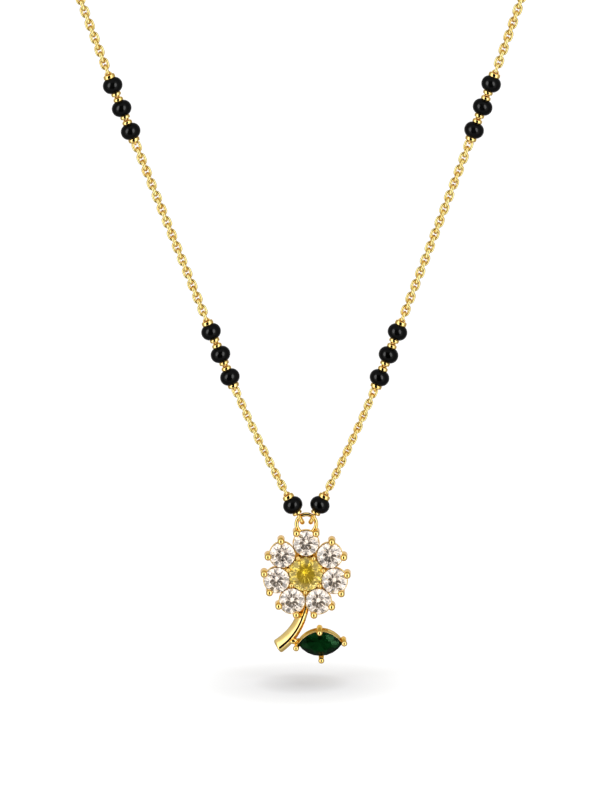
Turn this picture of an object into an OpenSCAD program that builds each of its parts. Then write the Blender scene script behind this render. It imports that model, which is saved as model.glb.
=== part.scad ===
// A mangalsutra: a seven-petal flower pendant with a stem and a leaf, on a cable chain with black beads.
// Millimetres. Z is up, X is to the right seen from the front, and the front faces -Y.
// The origin is at the back of the loop, where it rests on the neck.

/* [Chain] */
// Diameter of the wire of a link
link_wire = 0.25; // [0.22:0.01:0.25]
// Outer length of a link
link_l = 1.434; // [1.43:0.001:1.434]
// Outer width of a link
link_w = 1.28; // [1.24:0.01:1.3]
// Distance from link to link in the upper chain
upper_pitch = 0.834; // [0.8:0.002:0.834]
// Links on one side between the single bead and the lower group
lower_links = 18; // [18:2:18]
// Links on one side between the two groups
middle_links = 28; // [28:2:28]
// Links on one side above the upper group, up to the swept stretch
upper_links = 38; // [36:2:38]
// Diameter of the swept stretch round the neck
back_d = 1.3; // [1.1:0.1:1.4]

/* [Strand] */
// Distance behind the neck rest at which the front of the loop hangs
front_reach = 96; // [96:1:96]
// Depth of the flower's centre below the neck rest
flower_drop = 119; // [118:1:120]
// From the left single bead to the lowest bead of the lower group
lower_run_left = 17.24; // [17:0.02:17.3]
// The same on the right, where the links hang a little closer
lower_run_right = 16.97; // [16.97:0.01:17.3]
// From the highest bead of the lower group to the lowest of the upper group
middle_run = 26.02; // [25.9:0.02:26.2]
// Lean of the single bead from the vertical, in degrees
single_lean = 28.5; // [28:0.5:29]

/* [Black beads] */
// Diameter of a bead
bead_d = 2.4; // [2.3:0.05:2.4]
// Length of a bead along its hole
bead_l = 1.94; // [1.9:0.01:1.95]
// Diameter of the hole
bead_hole = 0.52; // [0.5:0.02:0.6]
// Distance from bead to bead in a group
bead_pitch = 2.96; // [2.94:0.01:3]

/* [Bead pins] */
// Diameter of the pin through a bead
pin_d = 0.3; // [0.24:0.02:0.3]
// Outer diameter of a cap that faces the chain above it
upper_cap_d = 1.43; // [1.4:0.01:1.44]
// Outer diameter of a cap that faces the chain below it
lower_cap_d = 1.36; // [1.3:0.01:1.4]
// Outer diameter of a cap between two beads or above the bail ring
inner_cap_d = 1.18; // [1.12:0.01:1.2]
// Free space all round between linked wires
link_gap = 0.1; // [0.08:0.01:0.1]
// Wire of the eyes between two beads
pin_eye_wire = 0.18; // [0.16:0.01:0.18]
// Wire of the eyes that hold the chain and the bail ring
end_eye_wire = 0.2; // [0.18:0.01:0.2]

/* [Bail ring] */
// Outer diameter of the bail ring
ring_d = 2.85; // [2.8:0.01:2.9]
// Diameter of its wire
ring_wire = 0.4; // [0.36:0.02:0.4]
// Height of its centre above the flower's centre
ring_up = 5.95; // [5.9:0.01:6]
// Distance of its plane behind the stones' girdles
ring_back = 0.84; // [0.7:0.01:0.9]
// Angle from its top to where a pin's eye holds it, in degrees
hook_angle = 44; // [43:0.5:45]
// Inner diameter of the eye that holds it
ring_eye_bore = 0.7; // [0.68:0.01:0.72]

/* [Flower] */
// Lean of the pendant, its top to the right, about the points where it hangs, in degrees
pendant_tilt = 1.35; // [1.1:0.05:1.5]
// Number of petals
petals = 7; // [7:1:7]
// Diameter of a petal stone
petal_stone_d = 3.05; // [3:0.01:3.08]
// Largest distance of a petal stone's centre from the flower's, at the top petal
petal_ring_r = 3.72; // [3.71:0.01:3.76]
// Diameter of the centre stone
centre_stone_d = 4.1; // [4:0.01:4.12]
// Diameter of the outer prongs' ball tips
outer_ball_d = 0.8; // [0.76:0.01:0.84]
// Diameter of the centre prongs' ball tips
centre_ball_d = 0.55; // [0.5:0.01:0.56]
// Depth of the settings behind the girdles
setting_depth = 1.95; // [1.9:0.01:2]

/* [Stem and leaf] */
// Radius of the stem's bend
stem_bend_r = 7.25; // [7.2:0.05:7.3]
// Half the depth of the stem, front to back
stem_half_depth = 0.5; // [0.45:0.01:0.55]
// Half the length of the leaf stone
leaf_half_l = 2.65; // [2.6:0.01:2.7]
// Half the width of the leaf stone
leaf_half_w = 1.5; // [1.44:0.01:1.5]
// Forward tilt of the leaf, in degrees
leaf_tilt = 8; // [7:1:9]
// Turn of the leaf in the pendant, its right end up, in degrees
leaf_turn = 1.8; // [1:0.1:2]
// Diameter of the leaf prongs' ball tips
leaf_ball_d = 0.72; // [0.68:0.01:0.74]

/* [Clasp] */
// Outer diameter of the clasp's ring
clasp_d = 5.6; // [5.2:0.1:5.6]
// Diameter of its wire
clasp_wire = 0.8; // [0.7:0.05:0.8]

/* [Hidden] */
beads_per_side = 7;
sides = ["left", "right"];

gold = "#d6a63c";
onyx = "#141414";
clear_white = "#eceef0";
olive_yellow = "#b9a52b";
deep_green = "#0c4b27";

// Smoothness of round wires and of the circles that they follow
wire_fn = 16;
loop_fn = 28;
turned_fn = 40;

// A strand's lean from the vertical, in degrees: [distance above the single bead, lean]
strand_lean = [
    [0, single_lean],
    [17, 22.3],
    [23, 21.4],
    [49, 20.9],
    [55, 20.4],
    [66, 19.4],
    [90, 18]
];
strand_step = 0.25;
strand_end = 92;

flower_z = -flower_drop;
petal_r = [for (share = [1, 0.979, 0.954, 0.981, 0.981, 0.954, 0.979]) share * petal_ring_r];
front_y = -front_reach;
flower_y = front_y - ring_back;
ring_r = (ring_d - ring_wire) / 2;

// A pin's ends, measured along it from the bead's centre
bead_end = bead_l / 2;
cap_gap = 0.05;
cup_z = 1.12;
pin_cup_z = bead_pitch / 2 - pin_eye_wire - 1.5 * link_gap;
pin_eye_r = pin_eye_wire + link_gap;
pin_eye_z = pin_cup_z + pin_eye_r - pin_eye_wire / 2;
link_eye_r = link_wire / 2 + link_gap + end_eye_wire / 2;
link_eye_z = cup_z + link_eye_r - end_eye_wire / 2 + 0.02;
ring_cup_z = 1.14;
outer_cap_top = 1.3;
inner_cap_top = 1.27;
ring_cap_top = 1.19;
ring_eye_r = (ring_eye_bore + end_eye_wire) / 2;
ring_eye_z = ring_cup_z + 0.48;
first_link = link_eye_z + (link_l - link_wire) / 2;

// Where the pendant hangs, and the single bead's centre on the right
hook = [ring_r * sin(hook_angle), ring_up + ring_r * cos(hook_angle)];
hook_z = flower_z + hook.y;
single_bead = [hook.x + ring_eye_z * sin(single_lean), flower_z + hook.y + ring_eye_z * cos(single_lean)];

function lean_at(s) = lookup(s, strand_lean);
strand_points = [
    for (s = 0, p = single_bead; s <= strand_end;
         p = p + strand_step * [sin(lean_at(s + strand_step / 2)), cos(lean_at(s + strand_step / 2))],
         s = s + strand_step) p
];
function strand_at(s) =
    let (k = floor(s / strand_step), part = s / strand_step - k)
    strand_points[k] * (1 - part) + strand_points[k + 1] * part;

// Distance of each bead above the single bead, from the middle bead of its group; side is -1 or 1
group_place = [0, -1, 0, 1, -1, 0, 1];
function lower_run(side) = side < 0 ? lower_run_left : lower_run_right;
function lower_group(side) = lower_run(side) + bead_pitch;
function upper_group(side) = lower_group(side) + 2 * bead_pitch + middle_run;
function group_middle(side, k) = k == 1 ? 0 : k < 5 ? lower_group(side) : upper_group(side);
function upper_end(side) = upper_group(side) + bead_pitch;

// The loop from the last upper link round the neck to the clasp, on the right: [x, y, z]
neck_route = [
    [36.5, -95.5, -21], [39.5, -92, -15.5], [43, -85, -12], [46.5, -75, -9.5],
    [48.5, -63, -7.5], [49, -50, -6], [47.5, -38, -4.5], [43, -26, -3],
    [35.5, -15.5, -2], [26, -7.5, -1], [15, -2, 0], [4.2, 0, 0]
];
neck_middle = [0, -50];
back_sides = 8;
rings_per_span = 3;

// Turn of each petal's two outer prongs round its stone, and their spread, in degrees
prong_turn = [0, 0, 4, 0, 0, -4, 0];
prong_spread = [43.5, 46, 43.5, 43.5, 43.5, 43.5, 43.5];

// Heights and depths in the pendant, from the plane of the girdles: front is positive
seat_gap = 0.04;
girdle_h = 0.1;
crown_share = 0.15;
pavilion_share = 0.43;
table_share = 0.56;
wall_top = 0.35;
wall_t = 0.24;

// The stem: [angle round the bend's centre, its left edge, its right edge], both from the bend's radius
stem_bend_at = [-7.16, -3];
stem_back = 0.95;
stem_edges = [
    [4, -0.36, 0.36],
    [-12, -0.45, 0.38],
    [-28, -0.74, 0.5],
    [-43, -0.94, 0.65],
    [-58, -0.98, 0.8]
];
stem_from = 4;
stem_to = -57.5;
stem_rings = 18;
stem_sides = 16;

// The leaf's centre in the pendant, and its prongs' ball tips: [x, y, z]
leaf_at = [1.86, -8.43, 0];
leaf_crown = 0.42;
leaf_pavilion = 1.2;
leaf_wall_t = 0.36;
leaf_wall_depth = 2;
leaf_top_ball = [-0.04, 1.48, 0.52];
leaf_bottom_ball = [0.1, -2.02, 0.3];
leaf_right_ball = [2.89, 0.1, 0.42];
leaf_left_ball = [-2.9, -0.39, 0.42];

function unit(v) = v / norm(v);

// Faces of a tube of so many rings of points, closed at both ends
function tube_faces(rings, around) = concat(
    [[for (j = [0:around - 1]) j]],
    [for (i = [0:rings - 2]) for (j = [0:around - 1])
        let (here = i * around, above = here + around, next = (j + 1) % around)
        [here + j, above + j, above + next, here + next]],
    [[for (j = [around - 1:-1:0]) (rings - 1) * around + j]]
);

// A smooth curve through four points, at part t of the span between the middle two
function spline(a, b, c, d, t) =
    0.5 * (2 * b + (c - a) * t + (2 * a - 5 * b + 4 * c - d) * t * t + (3 * b - a - 3 * c + d) * t * t * t);

// The 16 girdle points of a round stone and of a marquise
function round_outline(r) = [for (j = [0:15]) r * [cos(j * 22.5), sin(j * 22.5)]];
function marquise_r(half_l, half_w) = (half_l * half_l + half_w * half_w) / (2 * half_w);
function marquise_arc(half_l, half_w, n) =
    let (r = marquise_r(half_l, half_w), spread = asin(half_l / r))
    [for (j = [0:n - 1]) let (a = spread * (1 - 2 * j / n)) [r * sin(a), r * cos(a) - (r - half_w)]];
function marquise_outline(half_l, half_w, n) =
    let (arc = marquise_arc(half_l, half_w, n / 2))
    concat(arc, [for (p = arc) -p]);

// A wire ring in the XY plane
module wire_ring(r, wire) {
    rotate_extrude($fn = loop_fn) translate([r, 0]) circle(d = wire, $fn = wire_fn);
}

// One chain link in the XZ plane, its length along Z
module chain_link() {
    r = (link_w - link_wire) / 2;
    straight = link_l - link_w;
    rotate([90, 0, 0]) {
        for (turn = [0, 180])
            rotate([0, 0, turn]) translate([0, straight / 2, 0])
                rotate_extrude(angle = 180, $fn = loop_fn)
                    translate([r, 0]) circle(d = link_wire, $fn = wire_fn);
        for (x = [-r, r])
            translate([x, 0, 0]) rotate([90, 0, 0])
                cylinder(d = link_wire, h = straight, center = true, $fn = wire_fn);
    }
}

// Places its children at a distance up a strand, with Z along it; side is -1 or 1
module on_strand(side, s) {
    p = strand_at(s);
    translate([side * p.x, front_y, p.y]) rotate([0, side * lean_at(s), 0]) children();
}

// Places its children at a bead, with Z along its pin
module at_bead(side, k) {
    on_strand(side, group_middle(side, k)) translate([0, 0, group_place[k - 1] * bead_pitch]) children();
}

// A stretch of linked chain, every second link seen from the side
module chain_run(side, s_first, pitch, links) {
    color(gold)
        for (i = [0:links - 1])
            on_strand(side, s_first + i * pitch) rotate([0, 0, 90 * ((i + 1) % 2)]) chain_link();
}

module lower_chain(side) {
    chain_run(side, first_link, (lower_run(side) - 2 * first_link) / (lower_links - 1), lower_links);
}

module middle_chain(side) {
    s_first = lower_group(side) + bead_pitch + first_link;
    chain_run(side, s_first, (middle_run - 2 * first_link) / (middle_links - 1), middle_links);
}

module upper_chain(side) {
    chain_run(side, upper_end(side) + first_link, upper_pitch, upper_links);
}

// The plain stretch round the neck, one swept tube on each side
module back_chain(side) {
    s_last = upper_end(side) + first_link + (upper_links - 1) * upper_pitch + link_l / 2 + link_gap;
    start = strand_at(s_last);
    start_lean = lean_at(s_last);
    first = [start.x, front_y, start.y];
    before = first - 4 * [sin(start_lean), 0, cos(start_lean)];
    last = neck_route[len(neck_route) - 1];
    route = concat([before, first], neck_route, [last + [-4, 0, 0]]);
    spans = len(route) - 3;
    path = concat(
        [for (i = [0:spans - 1]) for (j = [0:rings_per_span - 1])
            spline(route[i], route[i + 1], route[i + 2], route[i + 3], j / rings_per_span)],
        [last]
    );
    rings = len(path);
    points = [
        for (i = [0:rings - 1])
            let (
                p = path[i],
                t = unit(path[min(i + 1, rings - 1)] - path[max(i - 1, 0)]),
                away = [p.x - neck_middle.x, p.y - neck_middle.y, 0],
                out = unit(away - (away * t) * t),
                across = cross(t, out)
            )
            for (j = [0:back_sides - 1])
                let (a = j * 360 / back_sides)
                p + back_d / 2 * (cos(a) * out + sin(a) * across)
    ];
    color(gold)
        mirror([side < 0 ? 1 : 0, 0, 0])
            polyhedron(points, tube_faces(rings, back_sides), convexity = 6);
}

// A black bead with its hole along Z
module bead() {
    color(onyx)
        rotate_extrude($fn = turned_fn) intersection() {
            translate([(bead_d - bead_l) / 2, 0]) circle(d = bead_l, $fn = turned_fn);
            translate([bead_hole / 2, -bead_l]) square([bead_d, 2 * bead_l]);
        }
}

// A hollow cap at a bead's end: a disc with a wall of two rings, the wider one on top
module cap(d, cup, top_z) {
    low_rim = 0.13;
    top_rim = 0.1;
    low_r = d / 2 - low_rim - 0.03;
    translate([0, 0, bead_end + cap_gap]) cylinder(r = low_r, h = cup - bead_end - cap_gap, $fn = turned_fn);
    translate([0, 0, bead_end + low_rim + 0.02]) wire_ring(low_r, 2 * low_rim);
    translate([0, 0, top_z]) wire_ring(d / 2 - top_rim, 2 * top_rim);
}

// An eye across a pin's axis: face-on for turn 0 and edge-on for turn 90
module pin_eye(z, r, wire, turn) {
    translate([0, 0, z]) rotate([90, 0, turn]) wire_ring(r, wire);
}

// The pin through a bead: the lower eye edge-on, the upper one face-on
module bead_pin(k) {
    single = k == 1;
    lowest = k == 2 || k == 5;
    highest = single || k == 4 || k == 7;
    color(gold) union() {
        cylinder(d = pin_d, h = 2 * (bead_end + cap_gap) + 0.1, center = true, $fn = wire_fn);
        if (highest) {
            cap(upper_cap_d, cup_z, outer_cap_top);
            pin_eye(link_eye_z, link_eye_r, end_eye_wire, 0);
        } else {
            cap(inner_cap_d, pin_cup_z, inner_cap_top);
            pin_eye(pin_eye_z, pin_eye_r, pin_eye_wire, 0);
        }
        mirror([0, 0, 1]) {
            if (lowest) {
                cap(lower_cap_d, cup_z, outer_cap_top);
                pin_eye(link_eye_z, link_eye_r, end_eye_wire, 90);
            } else if (single) {
                cap(inner_cap_d, ring_cup_z, ring_cap_top);
                pin_eye(ring_eye_z, ring_eye_r, end_eye_wire, 90);
            } else {
                cap(inner_cap_d, pin_cup_z, inner_cap_top);
                pin_eye(pin_eye_z, pin_eye_r, pin_eye_wire, 90);
            }
        }
    }
}

// Places its children in the pendant's own frame: X right, Y up, Z to the front
module in_pendant() {
    translate([0, flower_y, hook_z]) rotate([0, pendant_tilt, 0])
        translate([0, 0, flower_z - hook_z]) rotate([90, 0, 0]) children();
}

// Places its children at a petal's centre, with X pointing outwards
module at_petal(k) {
    rotate([0, 0, 90 + (k - 1) * 360 / petals]) translate([petal_r[k - 1], 0, 0]) children();
}

// Places its children between petal k and the next, at a radius, with X pointing outwards
module between_petals(k, r) {
    rotate([0, 0, 90 + (k - 0.5) * 360 / petals]) translate([r, 0, 0]) children();
}

// A cut stone on 16 girdle points: a table, 8 stars, 8 kites, 16 upper facets, 16 lower ones and 8 mains
module cut_stone(outline, crown, pavilion, girdle = girdle_h) {
    kite_share = 0.8;
    lower_share = 0.24;
    half = cos(22.5);
    top = girdle / 2;
    kite_z = top + crown * (1 - (kite_share * half - table_share) / (1 - table_share));
    lower_z = -top - pavilion * (1 - lower_share * half);
    points = concat(
        [for (k = [0:7]) let (p = table_share * outline[2 * k]) [p.x, p.y, top + crown]],
        [for (k = [0:7]) let (p = kite_share * outline[2 * k + 1]) [p.x, p.y, kite_z]],
        [for (p = outline) [p.x, p.y, top]],
        [for (p = outline) [p.x, p.y, -top]],
        [for (k = [0:7]) let (p = lower_share * outline[2 * k + 1]) [p.x, p.y, lower_z]],
        [[0, 0, -top - pavilion]]
    );
    kite = 8;
    upper = 16;
    lower = 32;
    low = 48;
    culet = 56;
    faces = concat(
        [[for (k = [7:-1:0]) k]],
        [for (k = [0:7]) [k, (k + 1) % 8, kite + k]],
        [for (k = [0:7]) [k, kite + k, upper + 2 * k, kite + (k + 7) % 8]],
        [for (k = [0:7]) [kite + k, upper + 2 * k + 1, upper + 2 * k]],
        [for (k = [0:7]) [kite + k, upper + (2 * k + 2) % 16, upper + 2 * k + 1]],
        [for (j = [0:15]) [upper + j, upper + (j + 1) % 16, lower + (j + 1) % 16, lower + j]],
        [for (k = [0:7]) [low + k, lower + 2 * k, lower + 2 * k + 1]],
        [for (k = [0:7]) [low + k, lower + 2 * k + 1, lower + (2 * k + 2) % 16]],
        [for (k = [0:7]) [culet, low + (k + 7) % 8, lower + 2 * k, low + k]]
    );
    polyhedron(points, faces, convexity = 4);
}

// A round brilliant
module round_stone(d) {
    cut_stone(round_outline(d / 2), crown_share * d, pavilion_share * d);
}

module petal_stone(k) {
    color(clear_white) in_pendant() at_petal(k) round_stone(petal_stone_d);
}

module centre_stone() {
    color(olive_yellow) in_pendant() round_stone(centre_stone_d);
}

module in_leaf() {
    translate(leaf_at) rotate([leaf_tilt, 0, leaf_turn]) children();
}

module leaf_stone() {
    color(deep_green) in_pendant() in_leaf()
        cut_stone(marquise_outline(leaf_half_l, leaf_half_w, 16), leaf_crown, leaf_pavilion);
}

// The room that the leaf stone takes in its setting
module leaf_seat() {
    in_leaf()
        cut_stone(
            marquise_outline(leaf_half_l + 1.4 * seat_gap, leaf_half_w + seat_gap, 16),
            leaf_crown + 1.5 * seat_gap, leaf_pavilion + 1.5 * seat_gap, girdle_h + 2 * seat_gap
        );
}

// The room that a round stone takes in its setting
module round_seat(d) {
    r = d / 2 + seat_gap;
    rotate_extrude($fn = turned_fn)
        polygon([
            [0, -girdle_h / 2 - pavilion_share * d - 2 * seat_gap],
            [r, -girdle_h / 2 - seat_gap],
            [r, girdle_h / 2 + seat_gap],
            [table_share * r, girdle_h / 2 + crown_share * d + 2 * seat_gap],
            [0, girdle_h / 2 + crown_share * d + 2 * seat_gap]
        ]);
}

// A tapered cup under a round stone, open through its middle
module collet(d, back_r) {
    front_r = d / 2 - 0.06;
    rotate_extrude($fn = turned_fn)
        polygon([
            [front_r - wall_t, -wall_top],
            [front_r, -wall_top],
            [back_r, -setting_depth],
            [back_r - wall_t - 0.1, -setting_depth]
        ]);
}

// A prong along Z with a ball tip in front
module prong(ball_d, shaft_d, ball_z) {
    translate([0, 0, -setting_depth]) cylinder(d = shaft_d, h = setting_depth + ball_z, $fn = 24);
    translate([0, 0, ball_z]) sphere(d = ball_d, $fn = 24);
}

module flower_metal() {
    gallery_in = 1.72;
    petal_collet_back = 1.38;
    gallery_out = 3.3;
    gallery_h = 0.6;
    prong_out = petal_stone_d / 2 + 0.18;
    centre_prong_r = centre_stone_d / 2 + 0.11;
    translate([0, 0, -setting_depth]) difference() {
        cylinder(r = gallery_out, h = gallery_h, $fn = turned_fn);
        translate([0, 0, -1]) cylinder(r = gallery_in, h = gallery_h + 2, $fn = turned_fn);
    }
    collet(centre_stone_d, gallery_in + 0.1);
    for (k = [1:petals]) {
        at_petal(k) {
            collet(petal_stone_d, petal_collet_back);
            for (side = [-1, 1])
                rotate([0, 0, prong_turn[k - 1] + side * prong_spread[k - 1]]) translate([prong_out, 0, 0])
                    prong(outer_ball_d, 0.92 * outer_ball_d, 0.5);
        }
        between_petals(k, centre_prong_r) prong(centre_ball_d, 0.9 * centre_ball_d, 0.42);
    }
}

module bail_ring() {
    translate([0, ring_up, -ring_back]) wire_ring(ring_r, ring_wire);
}

// The stem: an oval bar that bends to the left and widens to a cut end
module stem() {
    points = [
        for (i = [0:stem_rings - 1])
            let (
                a = stem_from + (stem_to - stem_from) * i / (stem_rings - 1),
                out = [cos(a), sin(a), 0],
                left = lookup(-a, [for (row = stem_edges) [-row[0], row[1]]]),
                right = lookup(-a, [for (row = stem_edges) [-row[0], row[2]]]),
                r = stem_bend_r + (left + right) / 2,
                half_w = (right - left) / 2
            )
            for (j = [0:stem_sides - 1])
                let (b = j * 360 / stem_sides)
                [stem_bend_at.x, stem_bend_at.y, -stem_back] + (r + half_w * cos(b)) * out
                    + [0, 0, stem_half_depth * sin(b)]
    ];
    polyhedron(points, tube_faces(stem_rings, stem_sides), convexity = 4);
}

// A leaf prong from the setting's back edge to its ball
module leaf_prong(foot, ball) {
    reach = ball - foot;
    turn = atan2(norm([reach.x, reach.y]), reach.z);
    translate(foot) rotate([0, turn, atan2(reach.y, reach.x)])
        cylinder(d = 0.84 * leaf_ball_d, h = norm(reach), $fn = 24);
    translate(ball) sphere(d = leaf_ball_d, $fn = 24);
}

module leaf_metal() {
    foot_z = -leaf_wall_depth + 0.1;
    in_leaf() {
        translate([0, 0, -leaf_wall_depth]) linear_extrude(leaf_wall_depth - wall_top) difference() {
            polygon(marquise_outline(leaf_half_l - 0.04, leaf_half_w - 0.03, 32));
            polygon(marquise_outline(leaf_half_l - 2 * leaf_wall_t, leaf_half_w - leaf_wall_t, 32));
        }
        leaf_prong([leaf_top_ball.x, 1.5, foot_z], leaf_top_ball);
        leaf_prong([leaf_bottom_ball.x, -1.5, foot_z + 0.5], leaf_bottom_ball);
        leaf_prong([leaf_right_ball.x - 0.1, 0, foot_z], leaf_right_ball);
        leaf_prong([leaf_left_ball.x + 0.35, 0, foot_z + 0.3], leaf_left_ball);
    }
    // The short bar that joins the leaf to the stem
    translate([-2.05, -8.1, -stem_back]) rotate([0, 90, -12]) cylinder(d = 0.8, h = 1.5, $fn = 24);
}

module pendant_frame() {
    color(gold) in_pendant() difference() {
        union() {
            flower_metal();
            bail_ring();
            stem();
            leaf_metal();
        }
        for (k = [1:petals]) at_petal(k) round_seat(petal_stone_d);
        round_seat(centre_stone_d);
        leaf_seat();
    }
}

// The plain clasp: a ring that stands upright at the back, with an eye for the chain on each side
module clasp() {
    r = (clasp_d - clasp_wire) / 2;
    eye_r = 0.5;
    eye_wire = 0.3;
    color(gold) union() {
        rotate([90, 0, 0]) wire_ring(r, clasp_wire);
        for (side = [-1, 1])
            translate([side * (clasp_d / 2 + eye_r - 0.05), 0, 0]) wire_ring(eye_r, eye_wire);
    }
}

pendant_frame();
for (k = [1:petals])
    petal_stone(k);
centre_stone();
leaf_stone();
for (side = [0, 1])
    for (k = [1:beads_per_side]) {
        at_bead(2 * side - 1, k) bead();
        at_bead(2 * side - 1, k) bead_pin(k);
    }
for (side = [0, 1]) {
    lower_chain(2 * side - 1);
    middle_chain(2 * side - 1);
    upper_chain(2 * side - 1);
    back_chain(2 * side - 1);
}
clasp();
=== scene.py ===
import math
import random

import bpy
from mathutils import Matrix, Vector


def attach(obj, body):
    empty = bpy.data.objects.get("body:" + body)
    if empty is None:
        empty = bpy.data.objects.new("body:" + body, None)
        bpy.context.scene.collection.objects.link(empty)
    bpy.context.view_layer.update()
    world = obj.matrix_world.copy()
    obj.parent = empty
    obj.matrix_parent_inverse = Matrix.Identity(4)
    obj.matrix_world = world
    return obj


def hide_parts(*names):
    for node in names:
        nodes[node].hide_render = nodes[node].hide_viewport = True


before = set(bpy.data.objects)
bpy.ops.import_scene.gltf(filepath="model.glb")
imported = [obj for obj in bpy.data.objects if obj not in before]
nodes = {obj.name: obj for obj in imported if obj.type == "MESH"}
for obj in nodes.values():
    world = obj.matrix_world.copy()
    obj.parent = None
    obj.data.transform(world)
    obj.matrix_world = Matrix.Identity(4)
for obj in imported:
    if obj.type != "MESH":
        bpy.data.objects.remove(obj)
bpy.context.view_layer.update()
random.seed(7)

# Lengths are in millimetres and angles in degrees, unless a comment says otherwise
MM = 0.001
SIDES = {"left": -1, "right": 1}

# The strand and the chain, as in the part's source. The strand's lean changes with the way along it
FRONT_Y = -96.0
FLOWER_Z = -119.0
STRAND_LEAN = [(0, 28.5), (17, 22.3), (23, 21.4), (49, 20.9), (55, 20.4), (66, 19.4), (90, 18)]
STRAND_STEP = 0.25
BEAD_PITCH = 2.96
LOWER_RUN = {"left": 17.24, "right": 16.97}
MIDDLE_RUN = 26.02
FIRST_LINK = 1.957
UPPER_PITCH = 0.834
LOWER_LINKS = 18
MIDDLE_LINKS = 28
UPPER_LINKS = 38
LINK_L = 1.434
LINK_GAP = 0.1
NECK_ROUTE = [
    (36.5, -95.5, -21), (39.5, -92, -15.5), (43, -85, -12), (46.5, -75, -9.5),
    (48.5, -63, -7.5), (49, -50, -6), (47.5, -38, -4.5), (43, -26, -3),
    (35.5, -15.5, -2), (26, -7.5, -1), (15, -2, 0), (4.2, 0, 0),
]
ROUTE_TAIL = 4
ROUTE_STEPS = 24
LAST_LINK_X = 4.04

# The links as shown: each run's wire and width, its turn about the strand, and the most that the turn grows
# from one link to the next after a bead
SEEN_LINK = {"lower": (0.345, 1.01), "middle": (0.36, 1.15), "upper": (0.365, 1.15)}
RUN_TWIST = {"lower": 13, "middle": 8, "upper": 8}
TWIST_STEP = 8
# A small uneven turn in radians, how far links press together, and the share of a link's half length left
# free of painted shade
LINK_WOBBLE = 0.05
LINK_PRESS = 0.004
LINK_UNSHADED_SHARE = 0.5

# The beads of a side: each one's place in its group, and those at the top and at the bottom of a group
GROUP_PLACE = (0, -1, 0, 1, -1, 0, 1)
GROUP_TOPS = (1, 4, 7)
GROUP_BOTTOMS = (2, 5)
BEAD_NAMES = [f"bead_{side}_{k}" for side in SIDES for k in range(1, len(GROUP_PLACE) + 1)]
# A bead's section is a circle of the first radius, whose middle lies the second one off the axis
BEAD_ROUND_R = 0.97
BEAD_FLAT_R = 0.23

# The pins, and their caps: radius, height of the top above the bead's centre, and height of the curl
PIN_R = 0.15
PIN_HALF_L = 1.05
LINK_CAP = (0.7, 1.36, 0.12)
LOWER_CAP = (0.68, 1.34, 0.12)
INNER_CAP = (0.59, 1.33, 0.1)
RING_CAP = (0.59, 1.27, 0.1)
CAP_FOOT_Z = 1.0
CAP_HOLLOW = 0.26

# The eyes of the pins: height above the bead's centre, half height, half width, wire, and extra length and
# thickness of the outer end. The eye at the bail ring is wide, to leave the ring room to swing
RING_EYE_Z = 1.62
LINK_EYE = (1.365, 0.345, 0.345, 0.24, 0, 1)
PIN_EYE = (1.34, 0.28, 0.28, 0.25, 0, 1)
RING_EYE = (RING_EYE_Z, 0.46, 0.78, 0.34, 0.28, 1.7)
EYE_STEPS = 18

# The pendant, as in the part's source. The ring is shown with thicker wire and the same outer size
RING_BACK = 0.84
RING_UP = 5.95
RING_R = 1.225
SEEN_RING_R = 1.175
SEEN_RING_WIRE = 0.5
HOOK_ANGLE = 44
PENDANT_TILT = 1.35
PETALS = 7
PETAL_RING_R = 3.72
PETAL_SHARES = (1, 0.979, 0.954, 0.981, 0.981, 0.954, 0.979)
PETAL_D = 3.05
CENTRE_D = 4.1
SETTING_DEPTH = 1.95
PRONG_TURN = (0, 0, 4, 0, 0, -4, 0)
PRONG_SPREAD = (43.5, 46, 43.5, 43.5, 43.5, 43.5, 43.5)
LEAF_AT = (1.86, -8.43, 0)
LEAF_TILT = 8
LEAF_TURN = 1.8
LEAF_HALF_L = 2.65
LEAF_HALF_W = 1.5

# Turned shapes begin this close to their axis, so that no face there has a side of no length
AXIS_R = 0.0005


# Meshes


class Shape:
    """Collects points in millimetres and faces, and becomes one object."""

    def __init__(self):
        self.points = []
        self.faces = []
        self.painted_shade = []

    def add(self, points, faces, matrix=None, painted_shade=None):
        """The last list gives for each point how much painted shade darkens it, from 0 to 1."""
        start = len(self.points)
        for p in points:
            self.points.append(matrix @ Vector(p) if matrix else Vector(p))
        self.faces += [[start + k for k in face] for face in faces]
        self.painted_shade += painted_shade or [0.0] * len(points)

    def piece(self, name, material, body, slot, replaced, matrix=None):
        """The object, in metres, which rides on the body and stands for the replaced nodes."""
        mesh = bpy.data.meshes.new(name)
        place = matrix or Matrix()
        mesh.from_pydata([(place @ p) * MM for p in self.points], [], self.faces)
        mesh.validate()
        # Each point's share of painted shade goes on the mesh
        if any(self.painted_shade):
            mesh.attributes.new("link_end_shade", "FLOAT", "POINT").data.foreach_set("value", self.painted_shade)
        mesh.shade_smooth()
        mesh.materials.append(material)
        obj = bpy.data.objects.new(name, mesh)
        bpy.context.collection.objects.link(obj)
        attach(obj, body)
        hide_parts(*replaced)


def grid_faces(rows, around, closed=False, capped=False):
    """Faces of rows of points, each row closed; the rows may close on themselves or be capped."""
    faces = []
    for i in range(rows if closed else rows - 1):
        n = (i + 1) % rows
        for j in range(around):
            k = (j + 1) % around
            faces.append([i * around + j, i * around + k, n * around + k, n * around + j])
    if capped:
        faces.append(list(range(around))[::-1])
        faces.append([(rows - 1) * around + j for j in range(around)])
    return faces


def lathe(profile, steps, closed=True):
    """Points and faces of a profile (radius, height) turned about Z; a closed one is a whole outline."""
    count = len(profile)
    points = []
    for i in range(steps):
        a = 2 * math.pi * i / steps
        points += [(r * math.cos(a), r * math.sin(a), z) for r, z in profile]
    faces = []
    for i in range(steps):
        n = (i + 1) % steps
        for j in range(count if closed else count - 1):
            k = (j + 1) % count
            faces.append([i * count + j, n * count + j, n * count + k, i * count + k])
    return points, faces


def rod(r, low, high, steps):
    """A round rod along Z."""
    return lathe([(AXIS_R, low), (r, low), (r, high), (AXIS_R, high)], steps, closed=False)


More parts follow.
